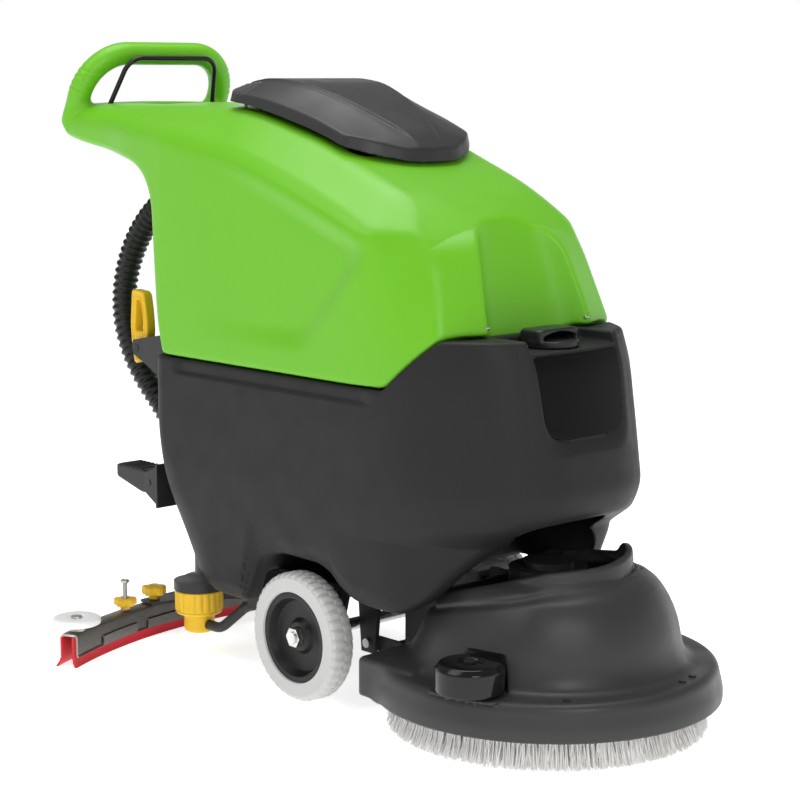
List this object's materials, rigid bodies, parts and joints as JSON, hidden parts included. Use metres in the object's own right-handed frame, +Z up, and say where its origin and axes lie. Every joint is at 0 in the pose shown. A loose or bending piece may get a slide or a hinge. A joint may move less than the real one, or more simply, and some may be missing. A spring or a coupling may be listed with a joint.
{
  "type": "floor scrubber machine",
  "caption": "Walk-behind floor scrubber: disc brush deck on a lifting head, curved rear squeegee, two stacked tanks with lid, loop handle, wheels and castor.",
  "frame": {"origin": "on the floor, below the middle of the machine's overall box", "axes": "+X forward, +Y to the machine's left, +Z up"},
  "size_m": [1.3577, 0.816, 1.076],
  "materials": {
    "green": "satin moulded",
    "charcoal": "moulded, fine grain",
    "lid_grey": "moulded, fine grain",
    "black_plastic": "moulded",
    "gloss_black": "polished",
    "frame_black": "powder coat",
    "channel_steel": "dark stainless",
    "bright_steel": "plated",
    "tyre_grey": "non-marking rubber",
    "hub_grey": "moulded",
    "yellow": "moulded",
    "red_rubber": "moulded",
    "light_grey": "moulded",
    "bristle_white": "nylon filament",
    "battery_case": "moulded",
    "hose_black": "corrugated",
    "motor_alloy": "cast",
    "switch_white": "moulded"
  },
  "bodies": {
    "root": {"solution_tank": "charcoal", "tank_hinge_pins": "bright_steel", "filler_strainer": "light_grey", "batteries": "battery_case", "chassis_frame": "frame_black", "rear_pivot_pins": "bright_steel", "axle": "bright_steel", "axle_nuts": "bright_steel", "head_spring": "bright_steel", "pedal_bracket": "frame_black", "lever_bracket": "frame_black", "filter_head": "black_plastic", "solution_pipe": "hose_black", "solution_valve": "black_plastic"},
    "wheel_right": {"tyre_right": "tyre_grey", "hub_right": "hub_grey"},
    "wheel_left": {"tyre_left": "tyre_grey", "hub_left": "hub_grey"},
    "castor_fork": {"castor_fork": "frame_black"},
    "castor_wheel": {"castor_wheel": "gloss_black"},
    "lower_arms": {"lower_arms": "frame_black"},
    "upper_link": {"upper_link": "frame_black"},
    "deck": {"deck_bracket": "frame_black", "front_pivot_pins": "bright_steel", "deck_housing": "charcoal", "deck_plate": "frame_black", "deck_screws": "frame_black", "brush_motor": "frame_black"},
    "bumper_roller": {"bumper_roller": "gloss_black"},
    "brush": {"drive_hub": "motor_alloy", "brush_plate": "light_grey", "brush_bristles": "bristle_white"},
    "lift_pedal": {"lift_pedal": "black_plastic"},
    "squeegee_yoke": {"squeegee_yoke": "frame_black", "suction_nozzle": "black_plastic"},
    "squeegee": {"squeegee_carrier": "frame_black", "squeegee_body": "channel_steel", "front_blade": "red_rubber", "rear_blade": "red_rubber", "blade_clamps": "channel_steel"},
    "disc_right": {"disc_right": "light_grey"},
    "disc_left": {"disc_left": "light_grey"},
    "knob_right": {"knob_right": "yellow"},
    "knob_left": {"knob_left": "yellow"},
    "adjuster_right": {"adjuster_right": "yellow"},
    "adjuster_left": {"adjuster_left": "yellow"},
    "squeegee_lever": {"squeegee_lever": "yellow"},
    "filter_bowl": {"filter_bowl": "yellow"},
    "filler_cap": {"filler_cap": "black_plastic"},
    "recovery_tank": {"recovery_tank": "green", "lid_hinge": "black_plastic", "control_panel": "black_plastic", "vacuum_motor": "motor_alloy", "float_cage": "light_grey", "suction_hose": "hose_black"},
    "tank_lid": {"tank_lid": "lid_grey"},
    "bail_lever": {"bail_lever": "frame_black"},
    "key_switch": {"key_switch": "bright_steel"},
    "switch_brush": {"switch_brush": "switch_white"},
    "switch_vacuum": {"switch_vacuum": "switch_white"}
  },
  "joints": [
    {"name": "wheel_right_spin", "type": "hinge", "parent": "root", "child": "wheel_right", "pos_m": [0.053, -0.212, 0.1067], "axis": [0, 1, 0], "continuous": true},
    {"name": "wheel_left_spin", "type": "hinge", "parent": "root", "child": "wheel_left", "pos_m": [0.053, 0.212, 0.1067], "axis": [0, 1, 0], "continuous": true},
    {"name": "castor_swivel", "type": "hinge", "parent": "root", "child": "castor_fork", "pos_m": [-0.228, 0, 0.118], "axis": [0, 0, 1], "continuous": true},
    {"name": "castor_roll", "type": "hinge", "parent": "castor_fork", "child": "castor_wheel", "pos_m": [-0.253, 0, 0.05], "axis": [0, 1, 0], "continuous": true},
    {"name": "head_lift", "type": "hinge", "parent": "root", "child": "lower_arms", "pos_m": [0.087, 0, 0.08], "axis": [0, -1, 0], "range_deg": [0, 16], "deforming": ["head_spring"]},
    {"name": "upper_link_pitch", "type": "hinge", "parent": "root", "child": "upper_link", "pos_m": [0.087, 0, 0.145], "axis": [0, -1, 0], "range_deg": [0, 16]},
    {"name": "deck_level", "type": "hinge", "parent": "lower_arms", "child": "deck", "pos_m": [0.197, 0, 0.08], "axis": [0, -1, 0], "range_deg": [-16, 0]},
    {"name": "brush_spin", "type": "hinge", "parent": "deck", "child": "brush", "pos_m": [0.402, 0, 0.06], "axis": [0, 0, 1], "continuous": true},
    {"name": "bumper_roller_spin", "type": "hinge", "parent": "deck", "child": "bumper_roller", "pos_m": [0.464, -0.234, 0.13], "axis": [0, 0, 1], "continuous": true},
    {"name": "pedal_press", "type": "hinge", "parent": "root", "child": "lift_pedal", "pos_m": [-0.368, -0.18, 0.3], "axis": [0, -1, 0], "range_deg": [0, 24]},
    {"name": "squeegee_lift", "type": "hinge", "parent": "root", "child": "squeegee_yoke", "pos_m": [-0.198, 0, 0.11], "axis": [0, 1, 0], "range_deg": [0, 6]},
    {"name": "squeegee_lever_pull", "type": "hinge", "parent": "root", "child": "squeegee_lever", "pos_m": [-0.435, -0.17, 0.533], "axis": [0, -1, 0], "range_deg": [0, 48]},
    {"name": "squeegee_swing", "type": "hinge", "parent": "squeegee_yoke", "child": "squeegee", "pos_m": [-0.463, 0, 0.068], "axis": [0, 0, 1], "range_deg": [-12, 12]},
    {"name": "disc_right_spin", "type": "hinge", "parent": "squeegee", "child": "disc_right", "pos_m": [-0.37737, -0.366, 0.075], "axis": [0, 0, 1], "continuous": true},
    {"name": "knob_right_turn", "type": "hinge", "parent": "squeegee", "child": "knob_right", "pos_m": [-0.44962, -0.148, 0.075], "axis": [0, 0, 1], "continuous": true},
    {"name": "adjuster_right_turn", "type": "hinge", "parent": "squeegee", "child": "adjuster_right", "pos_m": [-0.43173, -0.225, 0.075], "axis": [0, 0, 1], "continuous": true},
    {"name": "disc_left_spin", "type": "hinge", "parent": "squeegee", "child": "disc_left", "pos_m": [-0.37737, 0.366, 0.075], "axis": [0, 0, 1], "continuous": true},
    {"name": "knob_left_turn", "type": "hinge", "parent": "squeegee", "child": "knob_left", "pos_m": [-0.44962, 0.148, 0.075], "axis": [0, 0, 1], "continuous": true},
    {"name": "adjuster_left_turn", "type": "hinge", "parent": "squeegee", "child": "adjuster_left", "pos_m": [-0.43173, 0.225, 0.075], "axis": [0, 0, 1], "continuous": true},
    {"name": "filter_bowl_turn", "type": "hinge", "parent": "root", "child": "filter_bowl", "pos_m": [-0.27, -0.18, 0.08], "axis": [0, 0, 1], "range_deg": [0, 30]},
    {"name": "filler_cap_lift", "type": "slide", "parent": "root", "child": "filler_cap", "axis": [0, 0, 1], "range_m": [0, 0.08]},
    {"name": "tank_tilt", "type": "hinge", "parent": "root", "child": "recovery_tank", "pos_m": [0.374, 0, 0.634], "axis": [0, 1, 0], "range_deg": [0, 35]},
    {"name": "lid_open", "type": "hinge", "parent": "recovery_tank", "child": "tank_lid", "pos_m": [-0.222, 0, 0.978], "axis": [0, -1, 0], "range_deg": [0, 80]},
    {"name": "bail_squeeze", "type": "hinge", "parent": "recovery_tank", "child": "bail_lever", "pos_m": [-0.604, 0, 0.953], "axis": [0, -1, 0], "range_deg": [0, 8], "stiffness_Nm_per_rad": 0.6, "springref_deg": -8.59},
    {"name": "key_turn", "type": "hinge", "parent": "recovery_tank", "child": "key_switch", "pos_m": [-0.498, -0.06, 0.95], "axis": [0, 0, 1], "range_deg": [0, 90]},
    {"name": "brush_switch_press", "type": "slide", "parent": "recovery_tank", "child": "switch_brush", "axis": [0, 0, -1], "range_m": [0, 0.003], "stiffness_N_per_m": 300, "springref_m": -0.001},
    {"name": "vacuum_switch_press", "type": "slide", "parent": "recovery_tank", "child": "switch_vacuum", "axis": [0, 0, -1], "range_m": [0, 0.003], "stiffness_N_per_m": 300, "springref_m": -0.001}
  ],
  "couplings": [
    {"joint": "upper_link_pitch", "follows": "head_lift", "ratio": 1},
    {"joint": "deck_level", "follows": "head_lift", "ratio": -1},
    {"joint": "pedal_press", "follows": "head_lift", "ratio": 1.5},
    {"joint": "squeegee_lever_pull", "follows": "squeegee_lift", "ratio": 8}
  ]
}
